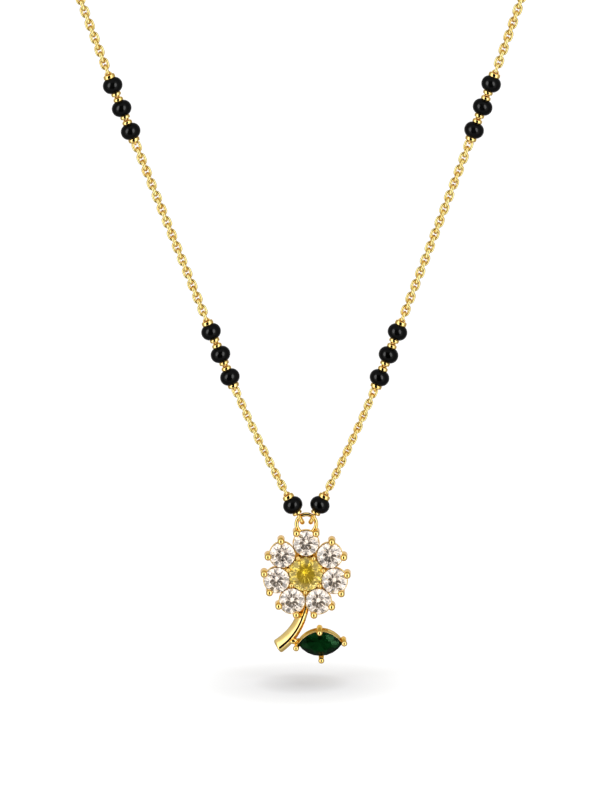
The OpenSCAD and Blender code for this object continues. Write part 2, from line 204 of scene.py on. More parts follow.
def rounded(outline, radius, steps=4):
    """A closed outline with its corners rounded, each over less than half of its sides."""
    most = 0.45
    result = []
    count = len(outline)
    for i, corner in enumerate(outline):
        c = Vector(corner)
        before = Vector(outline[i - 1]) - c
        after = Vector(outline[(i + 1) % count]) - c
        reach = min(radius, before.length * most, after.length * most)
        a = c + before.normalized() * reach
        b = c + after.normalized() * reach
        for k in range(steps + 1):
            t = k / steps
            result.append(tuple((1 - t) ** 2 * a + 2 * t * (1 - t) * c + t * t * b))
    return result


def two_arcs(steps):
    """The way round a loop of two half circles: the end, 1 or -1, and the angle in radians."""
    for end in (1, -1):
        for k in range(steps + 1):
            yield end, math.pi * k / steps if end > 0 else math.pi + math.pi * k / steps


def loop_wire(path, frames, wire_r, sides):
    """A closed wire along a path; each frame gives the two directions across it."""
    points = []
    for p, (u, v) in zip(path, frames):
        for j in range(sides):
            a = 2 * math.pi * j / sides
            points.append(p + wire_r * (math.cos(a) * u + math.sin(a) * v))
    return points, grid_faces(len(path), sides, closed=True)


def link_shape(run, pitch, arc_steps=12, sides=12):
    """One chain link in the XZ plane, its length along Z, long enough to touch links so far apart."""
    wire, width = SEEN_LINK[run]
    length = pitch + 2 * wire + LINK_PRESS
    r = (width - wire) / 2
    half = (length - width) / 2
    path = []
    frames = []
    for end, a in two_arcs(arc_steps):
        out = Vector((math.cos(a), 0, math.sin(a)))
        path.append(Vector((0, 0, end * half)) + r * out)
        frames.append((out, Vector((0, 1, 0))))
    points, faces = loop_wire(path, frames, wire / 2, sides)
    # Painted shade: each link turns darker towards its ends, where the neighbouring links overlap it
    painted_shade = []
    for p in points:
        past_unshaded = abs(p.z) / (length / 2) - LINK_UNSHADED_SHARE
        painted_shade.append(max(past_unshaded, 0) / (1 - LINK_UNSHADED_SHARE))
    return points, faces, painted_shade


def torus(r, wire_r, steps=72, sides=20):
    """A ring in the XY plane."""
    path = []
    frames = []
    for k in range(steps):
        a = 2 * math.pi * k / steps
        out = Vector((math.cos(a), math.sin(a), 0))
        path.append(r * out)
        frames.append((out, Vector((0, 0, 1))))
    return loop_wire(path, frames, wire_r, sides)


# Materials. The noise scales count cells in a metre, and the depths of the bumps are in metres

# The range that noise mostly has
NOISE_LOW = 0.3
NOISE_HIGH = 0.7
GOLD_TONE_FROM = 0.35
GOLD_TONE_TO = 0.65
GOLD_TONE_SCALE = 900
GOLD_WEAR_SCALE = 3500
GOLD_MARKS_SCALE = 9000
GOLD_MARKS_STRETCH = (1, 1, 0.25)
GOLD_MARKS_STRENGTH = 0.2
GOLD_MARKS_DEPTH = 0.000002
GOLD_EDGE_TINT = (0.97, 0.72, 0.3)
STONE_CLOUD_SCALE = 700
# Where a stone's rim, painted paler as reflected light, begins and where it is in full, in radii from its
# middle
RIM_FROM = 0.45
RIM_TO = 0.85
BEAD_TONE_SCALE = 600
BEAD_TONES = ((0.0002, 0.0002, 0.0002), (0.001, 0.001, 0.001))
BEAD_POLISH_SCALE = 2500
BEAD_ROUGHNESS = (0.1, 0.17)
BEAD_MARKS_STRENGTH = 0.03
BEAD_MARKS_DEPTH = 0.00003
BEAD_IOR = 1.42
BEAD_SPECULAR = 0.1


def new_material(name):
    """A material with its node tree and its shader."""
    mat = bpy.data.materials.new(name)
    mat.use_nodes = True
    tree = mat.node_tree
    return mat, tree, tree.nodes["Principled BSDF"]


def noise(tree, scale, detail=3.0, stretch=None):
    """A noise texture in the object's own metres."""
    coord = tree.nodes.new("ShaderNodeTexCoord")
    tex = tree.nodes.new("ShaderNodeTexNoise")
    tex.inputs["Scale"].default_value = scale
    tex.inputs["Detail"].default_value = detail
    if stretch:
        mapping = tree.nodes.new("ShaderNodeMapping")
        mapping.inputs["Scale"].default_value = stretch
        tree.links.new(coord.outputs["Object"], mapping.inputs["Vector"])
        tree.links.new(mapping.outputs["Vector"], tex.inputs["Vector"])
    else:
        tree.links.new(coord.outputs["Object"], tex.inputs["Vector"])
    return tex


def ramp(tree, source, stops):
    """A colour by the source's value, from stops of a place and a colour."""
    node = tree.nodes.new("ShaderNodeValToRGB")
    elements = node.color_ramp.elements
    while len(elements) < len(stops):
        elements.new(0.5)
    for element, (place, colour) in zip(elements, stops):
        element.position = place
        element.color = (*colour, 1)
    tree.links.new(source, node.inputs["Fac"])
    return node.outputs["Color"]


def vary(tree, source, low, high):
    """A value from low to high over the range that noise mostly has."""
    node = tree.nodes.new("ShaderNodeMapRange")
    node.inputs["From Min"].default_value = NOISE_LOW
    node.inputs["From Max"].default_value = NOISE_HIGH
    node.inputs["To Min"].default_value = low
    node.inputs["To Max"].default_value = high
    tree.links.new(source, node.inputs["Value"])
    return node.outputs["Result"]


def blended(tree, factor, colour, other, blend="MIX"):
    """The colour, blended with another fixed one by the factor."""
    node = tree.nodes.new("ShaderNodeMix")
    node.data_type = "RGBA"
    node.blend_type = blend
    tree.links.new(factor, node.inputs["Factor"])
    tree.links.new(colour, node.inputs["A"])
    node.inputs["B"].default_value = (*other, 1)
    return node.outputs["Result"]


def bump(tree, shader, source, strength, distance):
    """Fine relief from the source, in the shading only."""
    node = tree.nodes.new("ShaderNodeBump")
    node.inputs["Strength"].default_value = strength
    node.inputs["Distance"].default_value = distance
    tree.links.new(source, node.inputs["Height"])
    tree.links.new(node.outputs["Normal"], shader.inputs["Normal"])


def gold(name, rough_low, rough_high, deep, light, link_end_shade_tone=None):
    """Polished gold with faint marks and a slightly uneven tone, and painted shade from the mesh if asked.
    """
    mat, tree, shader = new_material(name)
    shader.inputs["Metallic"].default_value = 1
    tone = noise(tree, GOLD_TONE_SCALE)
    colour = ramp(tree, tone.outputs["Fac"], [(GOLD_TONE_FROM, deep), (GOLD_TONE_TO, light)])
    if link_end_shade_tone:
        # Painted shade: the colour is darkened by the share that the mesh stores for each point
        link_end_shade = tree.nodes.new("ShaderNodeAttribute")
        link_end_shade.attribute_name = "link_end_shade"
        colour = blended(tree, link_end_shade.outputs["Fac"], colour, link_end_shade_tone, "MULTIPLY")
    tree.links.new(colour, shader.inputs["Base Color"])
    wear = noise(tree, GOLD_WEAR_SCALE, detail=4)
    tree.links.new(vary(tree, wear.outputs["Fac"], rough_low, rough_high), shader.inputs["Roughness"])
    marks = noise(tree, GOLD_MARKS_SCALE, detail=2, stretch=GOLD_MARKS_STRETCH)
    bump(tree, shader, marks.outputs["Fac"], GOLD_MARKS_STRENGTH, GOLD_MARKS_DEPTH)
    shader.inputs["Specular Tint"].default_value = (*GOLD_EDGE_TINT, 1)
    return mat


def outward(tree):
    """From 0 in a round stone's middle to 1 at its rim, by its distance from the axis in radii."""
    box = tree.nodes.new("ShaderNodeTexCoord")
    centred = tree.nodes.new("ShaderNodeMapping")
    centred.inputs["Location"].default_value = (-1, 0, -1)
    centred.inputs["Scale"].default_value = (2, 0, 2)
    off_axis = tree.nodes.new("ShaderNodeVectorMath")
    off_axis.operation = "LENGTH"
    tree.links.new(box.outputs["Generated"], centred.inputs["Vector"])
    tree.links.new(centred.outputs["Vector"], off_axis.inputs[0])
    node = tree.nodes.new("ShaderNodeMapRange")
    node.interpolation_type = "SMOOTHSTEP"
    node.inputs["From Min"].default_value = RIM_FROM
    node.inputs["From Max"].default_value = RIM_TO
    tree.links.new(off_axis.outputs["Value"], node.inputs["Value"])
    return node.outputs["Result"]


def stone(name, deep, light, ior, transmission, tint=(1, 1, 1), roughness=0.0, rim=None):
    """A cut stone: clear, with a high index, faint clouds of tone, and a paler rim painted as reflected
    light if asked.
    """
    mat, tree, shader = new_material(name)
    shader.inputs["Transmission Weight"].default_value = transmission
    shader.inputs["IOR"].default_value = ior
    shader.inputs["Roughness"].default_value = roughness
    shader.inputs["Specular Tint"].default_value = (*tint, 1)
    clouds = noise(tree, STONE_CLOUD_SCALE)
    colour = ramp(tree, clouds.outputs["Fac"], [(NOISE_LOW, deep), (NOISE_HIGH, light)])
    # Painted reflection: the colour turns paler towards the stone's rim
    if rim:
        colour = blended(tree, outward(tree), colour, rim)
    tree.links.new(colour, shader.inputs["Base Color"])
    return mat


def black_glass(name):
    """Black glass with a soft gloss and a faintly uneven polish."""
    mat, tree, shader = new_material(name)
    tone = noise(tree, BEAD_TONE_SCALE)
    stops = list(zip((NOISE_LOW, NOISE_HIGH), BEAD_TONES))
    tree.links.new(ramp(tree, tone.outputs["Fac"], stops), shader.inputs["Base Color"])
    shader.inputs["IOR"].default_value = BEAD_IOR
    shader.inputs["Specular IOR Level"].default_value = BEAD_SPECULAR
    polish = noise(tree, BEAD_POLISH_SCALE)
    tree.links.new(vary(tree, polish.outputs["Fac"], *BEAD_ROUGHNESS), shader.inputs["Roughness"])
    bump(tree, shader, polish.outputs["Fac"], BEAD_MARKS_STRENGTH, BEAD_MARKS_DEPTH)
    return mat


# Each gold: roughness from and to, then its deep and its light tone
bright_gold = gold("bright_gold", 0.03, 0.07, (0.91, 0.63, 0.19), (0.95, 0.70, 0.26))
# The chain's gold is painted darker towards each link's end, as shade
chain_gold = gold("chain_gold", 0.04, 0.08, (0.96, 0.74, 0.27), (1.0, 0.88, 0.40),
                  link_end_shade_tone=(0.6, 0.40, 0.14))
satin_gold = gold("satin_gold", 0.09, 0.14, (0.90, 0.65, 0.23), (0.95, 0.73, 0.31))

# Each stone: its deep and its light tone first
white_stone = stone("white_stone", (0.95, 0.80, 0.67), (0.99, 0.87, 0.76), ior=2.15, transmission=1.0)
# The yellow stone's outer part is painted paler, as reflected light
yellow_stone = stone("yellow_stone", (0.93, 0.64, 0.02), (0.99, 0.70, 0.04), ior=1.75, transmission=0.88,
                     tint=(1, 0.85, 0.4), rim=(1.0, 0.84, 0.36))
green_stone = stone("green_stone", (0.0008, 0.009, 0.002), (0.0015, 0.022, 0.004), ior=1.6,
                    transmission=0.95, tint=(0.025, 0.09, 0.035), roughness=0.05)
black_bead = black_glass("black_bead")


def paint(name, material):
    """Gives a node of the part its material."""
    obj = nodes[name]
    if not obj.material_slots:
        obj.data.materials.append(material)
    for material_slot in obj.material_slots:
        material_slot.material = material


for name in BEAD_NAMES:
    paint(name, black_bead)
for k in range(1, PETALS + 1):
    paint(f"petal_stone_{k}", white_stone)
paint("centre_stone", yellow_stone)
paint("leaf_stone", green_stone)
paint("clasp", bright_gold)


# The chain round the neck


def lean_at(s):
    """The strand's lean so far along it."""
    for (s0, a0), (s1, a1) in zip(STRAND_LEAN, STRAND_LEAN[1:]):
        if s <= s1:
            return a0 + (a1 - a0) * (s - s0) / (s1 - s0)
    return STRAND_LEAN[-1][1]


def strand_at(s):
    """A point of the right strand, so far up from the first bead's centre: x and z in the front's plane."""
    lean = math.radians(STRAND_LEAN[0][1])
    hook = math.radians(HOOK_ANGLE)
    hook_up = RING_UP + RING_R * math.cos(hook)
    x = RING_R * math.sin(hook) + RING_EYE_Z * math.sin(lean)
    z = FLOWER_Z + hook_up + RING_EYE_Z * math.cos(lean)
    steps = int(s / STRAND_STEP)
    for i in range(steps):
        a = math.radians(lean_at((i + 0.5) * STRAND_STEP))
        x += STRAND_STEP * math.sin(a)
        z += STRAND_STEP * math.cos(a)
    rest = s - steps * STRAND_STEP
    a = math.radians(lean_at((steps + 0.5) * STRAND_STEP))
    return x + rest * math.sin(a), z + rest * math.cos(a)


def spline(a, b, c, d, t):
    """A point between b and c on a smooth curve through all four."""
    bend = 2 * a - 5 * b + 4 * c - d
    return 0.5 * (2 * b + (c - a) * t + bend * t * t + (3 * b - a - 3 * c + d) * t ** 3)


def link_turn(angle, axis):
    """A turn about the strand by an angle in radians, a little uneven from link to link."""
    return Matrix.Rotation(angle + random.uniform(-LINK_WOBBLE, LINK_WOBBLE), 3, axis)


def place_link(shape, link, side, centre, along, across):
    """Adds a link whose length runs along and whose width runs across; the left is the right mirrored."""
    place = Matrix((across, along.cross(across), along)).transposed().to_4x4()
    place.translation = centre
    mirror = Matrix.Diagonal((SIDES[side], 1, 1, 1))
    points, faces, painted_shade = link
    if side == "left":
        faces = [face[::-1] for face in faces]
    shape.add(points, faces, mirror @ place, painted_shade)


def front_links(side, run, s_first, pitch, count):
    """One run of links, turned less near the beads. After the upper run comes no bead."""
    shape = Shape()
    link = link_shape(run, pitch)
    for i in range(count):
        s = s_first + i * pitch
        x, z = strand_at(s)
        lean = math.radians(lean_at(s))
        along = Vector((math.sin(lean), 0, math.cos(lean)))
        across = Vector((0, 1, 0)) if i % 2 == 0 else Vector((math.cos(lean), 0, -math.sin(lean)))
        to_bead = count if run == "upper" else count - 1 - i
        twist = min(RUN_TWIST[run], TWIST_STEP * i, TWIST_STEP * to_bead)
        turn = link_turn(math.radians(twist), along)
        place_link(shape, link, side, Vector((x, FRONT_Y, z)), along, turn @ across)
    shape.piece(f"links_{side}_{run}", chain_gold, "necklace", "gold", [f"chain_{side}_{run}"])


for side in SIDES:
    lower_pitch = (LOWER_RUN[side] - 2 * FIRST_LINK) / (LOWER_LINKS - 1)
    middle_pitch = (MIDDLE_RUN - 2 * FIRST_LINK) / (MIDDLE_LINKS - 1)
    group = LOWER_RUN[side] + BEAD_PITCH
    upper = group + 2 * BEAD_PITCH + MIDDLE_RUN
    front_links(side, "lower", FIRST_LINK, lower_pitch, LOWER_LINKS)
    front_links(side, "middle", group + BEAD_PITCH + FIRST_LINK, middle_pitch, MIDDLE_LINKS)
    front_links(side, "upper", upper + BEAD_PITCH + FIRST_LINK, UPPER_PITCH, UPPER_LINKS)


def back_path(side):
    """The path of link centres on the right: from the last link of the source to the clasp's eye."""
    s_link = LOWER_RUN[side] + 4 * BEAD_PITCH + MIDDLE_RUN + FIRST_LINK + (UPPER_LINKS - 1) * UPPER_PITCH
    s_tube = s_link + LINK_L / 2 + LINK_GAP
    x, z = strand_at(s_link)
    start = Vector((x, FRONT_Y, z))
    x, z = strand_at(s_tube)
    first = Vector((x, FRONT_Y, z))
    lean = math.radians(lean_at(s_tube))
    before = first - ROUTE_TAIL * Vector((math.sin(lean), 0, math.cos(lean)))
    beyond = Vector(NECK_ROUTE[-1]) + Vector((-ROUTE_TAIL, 0, 0))
    route = [before, first] + [Vector(p) for p in NECK_ROUTE] + [beyond]
    path = [start]
    for i in range(len(route) - 3):
        for j in range(ROUTE_STEPS):
            path.append(spline(*route[i:i + 4], j / ROUTE_STEPS))
    path += [route[-2], Vector((LAST_LINK_X, 0, 0))]
    return path, lean_at(s_link)


def back_links(side):
    """The links round the neck, which the source has as a tube."""
    path, lean = back_path(side)
    lengths = [0.0]
    for a, b in zip(path, path[1:]):
        lengths.append(lengths[-1] + (b - a).length)
    count = round(lengths[-1] / UPPER_PITCH)
    pitch = lengths[-1] / count
    tiny = 1e-9

    def at(distance):
        k = next(i for i in range(1, len(lengths)) if lengths[i] >= distance - tiny)
        share = (distance - lengths[k - 1]) / max(lengths[k] - lengths[k - 1], tiny)
        return path[k - 1].lerp(path[k], share)

    # The direction across is carried along the path, so that the links don't turn more than the path does
    centres = [at(pitch * (k + 1)) for k in range(count)]
    across = Vector((math.cos(math.radians(lean)), 0, -math.sin(math.radians(lean))))
    frames = []
    for k, centre in enumerate(centres):
        ahead = centres[k + 1] if k + 1 < count else centre + Vector((-1, 0, 0))
        behind = centres[k - 1] if k else path[0]
        t = (ahead - behind).normalized()
        across = (across - across.dot(t) * t).normalized()
        frames.append((t, across.copy()))

    # The turn that the last link needs to stand upright in the clasp's eye is shared out over all of them
    t, across = frames[-1]
    wide = across if count % 2 == 0 else t.cross(across)
    upright = Vector((0, 0, 1))
    miss = math.atan2(t.dot(wide.cross(upright)), wide.dot(upright))
    miss = (miss + math.pi / 2) % math.pi - math.pi / 2
    link = link_shape("upper", pitch)
    shape = Shape()
    for k, (centre, (t, across)) in enumerate(zip(centres, frames)):
        quarter = math.pi / 2 if k % 2 == 0 else 0
        turn = link_turn(miss * (k + 1) / count + quarter, t)
        place_link(shape, link, side, centre, t, turn @ across)
    shape.piece(f"links_{side}_back", chain_gold, "necklace", "gold", [f"chain_{side}_back"])


for side in SIDES:
    back_links(side)


# The pins through the beads, with their hollow caps and their eyes


def mirrored(points, faces):
    """The shape upside down."""
    return [(p[0], p[1], -p[2]) for p in points], [face[::-1] for face in faces]


def smooth_line(points, steps=4):
    """A profile made round through its points."""
    line = []
    ends = [points[0]] + list(points) + [points[-1]]
    for i in range(len(points) - 1):
        a, b, c, d = (Vector(q) for q in ends[i:i + 4])
        line += [tuple(spline(a, b, c, d, j / steps)) for j in range(steps)]
    return line + [tuple(points[-1])]


def bead_surface(r):
    """The height of a bead's surface so far from its axis."""
    return math.sqrt(BEAD_ROUND_R ** 2 - (r - BEAD_FLAT_R) ** 2)


def cap(r, top, curl):
    """A round cap with a smooth side, from just off the bead to its hollow end."""
    low = bead_surface(r - 0.05) + 0.025
    side_top = top - curl
    # Outwards along the bead, up the side, over the curled edge and down into the hollow
    outline = [
        (0.3, CAP_FOOT_Z), (r - 0.16, bead_surface(r - 0.16) + 0.03), (r - 0.05, low),
        (r, low + 0.07), (r + 0.005, (low + side_top) / 2 + 0.02), (r - 0.01, side_top),
        (r - 0.04, top - 0.03), (r - 0.1, top), (r - 0.16, top - 0.05),
        (r - 0.19, top - 0.22), (0.1, top - CAP_HOLLOW),
    ]
    profile = [(AXIS_R, CAP_FOOT_Z)] + smooth_line(outline) + [(AXIS_R, top - CAP_HOLLOW)]
    return lathe(profile, steps=48, closed=False)


def eye(z, high, wide, wire, longer, thicker, turn):
    """A loop round the height z. Its outer end is this much further out and this many times thicker."""
    path = []
    frames = []
    for end, a in two_arcs(EYE_STEPS):
        out = Vector((math.cos(a) * high, 0, math.sin(a) * wide)).normalized()
        grow = 1 + (thicker - 1) * max(math.sin(a), 0)
        path.append(Vector((wide * math.cos(a), 0, high * math.sin(a) + z + (longer if end > 0 else 0))))
        frames.append((out * grow, Vector((0, grow, 0))))
    points, faces = loop_wire(path, frames, wire / 2, EYE_STEPS)
    spin = Matrix.Rotation(math.radians(turn), 3, "Z")
    return [tuple(spin @ p) for p in points], faces


def bead_pin(k):
    """The pin, its two caps and its two eyes: the lower eye edge-on, the upper one face-on."""
    top_cap, top_eye = (LINK_CAP, LINK_EYE) if k in GROUP_TOPS else (INNER_CAP, PIN_EYE)
    if k == 1:
        low_cap, low_eye = RING_CAP, RING_EYE
    elif k in GROUP_BOTTOMS:
        low_cap, low_eye = LOWER_CAP, LINK_EYE
    else:
        low_cap, low_eye = INNER_CAP, PIN_EYE
    shape = Shape()
    shape.add(*rod(PIN_R, -PIN_HALF_L, PIN_HALF_L, steps=20))
    shape.add(*cap(*top_cap))
    shape.add(*eye(*top_eye, 0))
    shape.add(*mirrored(*cap(*low_cap)))
    shape.add(*mirrored(*eye(*low_eye, 90)))
    return shape


for side, sign in SIDES.items():
    for k, step in enumerate(GROUP_PLACE, 1):
        group = 0 if k == 1 else LOWER_RUN[side] + BEAD_PITCH
        if k > GROUP_TOPS[1]:
            group += 2 * BEAD_PITCH + MIDDLE_RUN
        x, z = strand_at(group)
        place = (
            Matrix.Translation((sign * x, FRONT_Y, z))
            @ Matrix.Rotation(math.radians(sign * lean_at(group)), 4, "Y")
            @ Matrix.Translation((0, 0, step * BEAD_PITCH))
        )
        bead_pin(k).piece(f"caps_{side}_{k}", bright_gold, "necklace", "gold", [f"pin_{side}_{k}"], place)


# The pendant's gold, in the pendant's own frame: X right, Y up, Z to the front

hook_z = FLOWER_Z + RING_UP + RING_R * math.cos(math.radians(HOOK_ANGLE))
in_pendant = (
    Matrix.Translation((0, FRONT_Y - RING_BACK, hook_z))
    @ Matrix.Rotation(math.radians(PENDANT_TILT), 4, "Y")
    @ Matrix.Translation((0, 0, FLOWER_Z - hook_z))
    @ Matrix.Rotation(math.radians(90), 4, "X")
)
in_leaf = (
    Matrix.Translation(LEAF_AT)
    @ Matrix.Rotation(math.radians(LEAF_TURN), 4, "Z")
    @ Matrix.Rotation(math.radians(LEAF_TILT), 4, "X")
)

# Prongs: diameter of the round tip, the shaft's share of it, and the tip's height. Off is how far a prong's
# middle lies outside the stone's edge
OUTER_PRONG = (0.84, 0.92, 0.5)
OUTER_PRONG_OFF = 0.18
CENTRE_PRONG = (0.57, 0.9, 0.42)
CENTRE_PRONG_OFF = 0.11
PRONG_FOOT_Z = 0.08 - SETTING_DEPTH
PRONG_NECK = 0.97
PRONG_TIP_STEPS = 12

# The cups under the stones. They end at slightly different depths, so that no two faces lie in one plane
COLLET_WALL = 0.24
COLLET_RIM = 0.1
COLLET_EDGE = 0.05
PETAL_BACK_R = 1.5
PETAL_CUP_DEPTHS = (SETTING_DEPTH - 0.04, SETTING_DEPTH - 0.04 - 0.01)
CENTRE_BACK_R = 1.82
CENTRE_CUP_DEPTH = SETTING_DEPTH - 0.02

# A gold seat in each gap round the centre stone: distance from the centre, and outline from the tip down
SEAT_AT = 2.4
SEAT_PROFILE = [(AXIS_R, -0.14), (0.2, -0.29), (0.4, -0.5), (0.53, -0.75), (0.57, -1.4), (AXIS_R, -1.4)]

# The ring plate behind the petals
GALLERY_INNER_R = 1.72
GALLERY_OUTER_R = 3.3
GALLERY_BACK = -SETTING_DEPTH
GALLERY_FRONT = -SETTING_DEPTH + 0.6
GALLERY_EDGE = 0.08


def pendant_piece(shape, name, material):
    """A piece of the pendant's gold, from a shape in the pendant's frame."""
    shape.piece(name, material, "pendant", "gold", ["pendant_frame"], in_pendant)


def petal_angle(k):
    """The direction of a petal, the first one upwards; a half is the gap after it."""
    return 90 + k * 360 / PETALS


def polar(angle, r):
    """The point so far out in this direction."""
    return Vector((r * math.cos(math.radians(angle)), r * math.sin(math.radians(angle)), 0))


def prong(ball_d, shaft_share, ball_z, foot_z=PRONG_FOOT_Z):
    """A round prong with a wider foot, whose tip is a ball, as one turned outline."""
    ball_r = ball_d / 2
    shaft_r = shaft_share * ball_d / 2
    neck_r = shaft_r * PRONG_NECK
    join = -math.sqrt(ball_r ** 2 - neck_r ** 2)
    profile = [(AXIS_R, foot_z), (shaft_r * 1.12, foot_z), (shaft_r * 1.22, foot_z + 0.08),
               (shaft_r, ball_z + join - 0.16), (neck_r, ball_z + join - 0.05)]
    start = math.asin(join / ball_r)
    for i in range(PRONG_TIP_STEPS + 1):
        a = start + (math.pi / 2 - start) * i / PRONG_TIP_STEPS
        profile.append((max(ball_r * math.cos(a), AXIS_R), ball_z + ball_r * math.sin(a)))
    return lathe(profile, steps=28, closed=False)


def collet(d, back_r, depth):
    """The tapered cup under a round stone, with softened rims."""
    r = d / 2
    front_r = r + COLLET_RIM
    # Up the inside to the stone's edge, over the rim, and down the outside to the back
    outline = [
        (r - 0.06 - COLLET_WALL, -0.5), (r - 0.1, -0.19), (r + 0.02, -0.14), (front_r, -0.2),
        (front_r, -0.34), (r - 0.05, -0.5), (back_r, -depth), (back_r - COLLET_WALL - 0.1, -depth),
    ]
    return lathe(rounded(outline, COLLET_EDGE), steps=64)


ring = Shape()
ring.add(*torus(SEEN_RING_R, SEEN_RING_WIRE / 2), Matrix.Translation((0, RING_UP, -RING_BACK)))
pendant_piece(ring, "bail_ring", bright_gold)

settings = Shape()
prongs = Shape()
for k in range(PETALS):
    centre = polar(petal_angle(k), PETAL_RING_R * PETAL_SHARES[k])
    settings.add(*collet(PETAL_D, PETAL_BACK_R, PETAL_CUP_DEPTHS[k % 2]), Matrix.Translation(centre))
    for spread in (-PRONG_SPREAD[k], PRONG_SPREAD[k]):
        at = centre + polar(petal_angle(k) + PRONG_TURN[k] + spread, PETAL_D / 2 + OUTER_PRONG_OFF)
        prongs.add(*prong(*OUTER_PRONG), Matrix.Translation(at))
    at = polar(petal_angle(k + 0.5), CENTRE_D / 2 + CENTRE_PRONG_OFF)
    prongs.add(*prong(*CENTRE_PRONG), Matrix.Translation(at))
    seat = lathe(SEAT_PROFILE, steps=32, closed=False)
    settings.add(*seat, Matrix.Translation(polar(petal_angle(k + 0.5), SEAT_AT)))
settings.add(*collet(CENTRE_D, CENTRE_BACK_R, CENTRE_CUP_DEPTH))
gallery = [(GALLERY_INNER_R, GALLERY_BACK), (GALLERY_INNER_R, GALLERY_FRONT),
           (GALLERY_OUTER_R, GALLERY_FRONT), (GALLERY_OUTER_R, GALLERY_BACK)]
settings.add(*lathe(rounded(gallery, GALLERY_EDGE), steps=96))
pendant_piece(settings, "stone_settings", bright_gold)
pendant_piece(prongs, "prongs", bright_gold)


# The stem: a bent bar with a broad flat face on its left and a rounded edge on its right

STEM_BEND_AT = Vector((-7.16, -3, -0.95))
STEM_BEND_R = 7.25
STEM_FROM = 4
STEM_TO = -57.5
STEM_ROWS = 130
# Rows of an angle of the bend, and the left and the right edge there, from the bend's radius outwards
STEM_EDGES = [
    (4, -0.5, 0.46), (-12, -0.66, 0.5), (-18, -0.84, 0.5),
    (-28, -0.86, 0.56), (-43, -0.94, 0.68), (-58, -0.98, 0.8),
]
STEM_HALF_DEPTH = 0.5
# The ridge: its rounding, the most that takes of the width, and its place across the width
STEM_RIDGE_R = 0.42
STEM_RIDGE_MOST = 0.3
STEM_RIDGE_AT = 0.62
STEM_RIDGE_STEPS = 14
# The slope of each face, at the ridge and at the edge
STEM_LEFT = (math.radians(37), math.radians(47))
STEM_RIGHT = (math.radians(33), math.radians(56))
STEM_SIDE_R = 0.1
STEM_SIDE_END = math.radians(120)
STEM_SIDE_STEPS = 5
STEM_LOWEST = -0.44
STEM_BACK_INSET = 0.2
# The rounded lower end: its length, its size at the very end, and how much it grows from there
STEM_TIP_L = 0.3
STEM_TIP_SHARE = 0.7
STEM_TIP_GROWTH = 0.3


def stem_edges(a):
    """The stem's left and right edge at an angle of its bend."""
    for (a0, *first), (a1, *second) in zip(STEM_EDGES, STEM_EDGES[1:]):
        if a >= a1:
            share = (a - a0) / (a1 - a0)
            return [u + (v - u) * share for u, v in zip(first, second)]
    return STEM_EDGES[-1][1:]


def slope_down(start, reach, top, low, steps=10):
    """Points away from the ridge along a face that gets steeper from top to low."""
    points = [Vector(start)]
    for k in range(steps):
        slope = top + (low - top) * (k + 0.5) / steps
        step = reach / steps
        points.append(points[-1] + Vector((step, -abs(step) * math.tan(slope))))
        points[-1].y = max(points[-1].y, STEM_LOWEST)
    return points[1:]


def edge_round(at, low, sign):
    """The rounded edge after a face, from the face's slope to the back."""
    middle = at - STEM_SIDE_R * Vector((sign * math.sin(low), math.cos(low)))
    points = []
    for k in range(1, STEM_SIDE_STEPS + 1):
        a = low + (STEM_SIDE_END - low) * k / STEM_SIDE_STEPS
        points.append(middle + STEM_SIDE_R * Vector((sign * math.sin(a), math.cos(a))))
    return points


def stem_outline(left, right):
    """Across the stem, clockwise from the back's left: outwards from the bend's radius, and forward."""
    width = right - left
    ridge_r = min(STEM_RIDGE_R, STEM_RIDGE_MOST * width)
    ridge_x = left + STEM_RIDGE_AT * width
    ridge_z = STEM_HALF_DEPTH - ridge_r
    ridge = []
    for k in range(STEM_RIDGE_STEPS + 1):
        a = -STEM_LEFT[0] + (STEM_RIGHT[0] + STEM_LEFT[0]) * k / STEM_RIDGE_STEPS
        ridge.append(Vector((ridge_x + ridge_r * math.sin(a), ridge_z + ridge_r * math.cos(a))))
    left_face = slope_down(ridge[0], left + STEM_SIDE_R / 2 - ridge[0].x, *STEM_LEFT)
    right_face = slope_down(ridge[-1], right - STEM_SIDE_R / 2 - ridge[-1].x, *STEM_RIGHT)
    left_edge = edge_round(left_face[-1], STEM_LEFT[1], -1)
    right_edge = edge_round(right_face[-1], STEM_RIGHT[1], 1)
    back_right = Vector((right - STEM_BACK_INSET, -STEM_HALF_DEPTH))
    back_left = Vector((left + STEM_BACK_INSET, -STEM_HALF_DEPTH))
    front = left_edge[::-1] + left_face[::-1] + ridge + right_face + right_edge
    return front + [back_right, back_left]


def tip_share(to_end):
    """The share of its full size that the stem has so close to its end, which is rounded off."""
    if to_end > STEM_TIP_L:
        return 1
    return STEM_TIP_SHARE + STEM_TIP_GROWTH * math.sqrt(max(1 - (1 - to_end / STEM_TIP_L) ** 2, 0))


stem = Shape()
stem_points = []
for i in range(STEM_ROWS):
    a = STEM_FROM + (STEM_TO - STEM_FROM) * i / (STEM_ROWS - 1)
    out = polar(a, 1)
    left, right = stem_edges(a)
    section = stem_outline(left, right)
    shrink = tip_share(math.radians(a - STEM_TO) * STEM_BEND_R)
    middle = (left + right) / 2
    for across, front in section:
        r = STEM_BEND_R + middle + (across - middle) * shrink
        stem_points.append(STEM_BEND_AT + r * out + Vector((0, 0, front * shrink)))
stem.add(stem_points, grid_faces(STEM_ROWS, len(section), capped=True))
pendant_piece(stem, "stem", satin_gold)


# The leaf's setting, with a short bar to the stem

LEAF_AROUND = 96
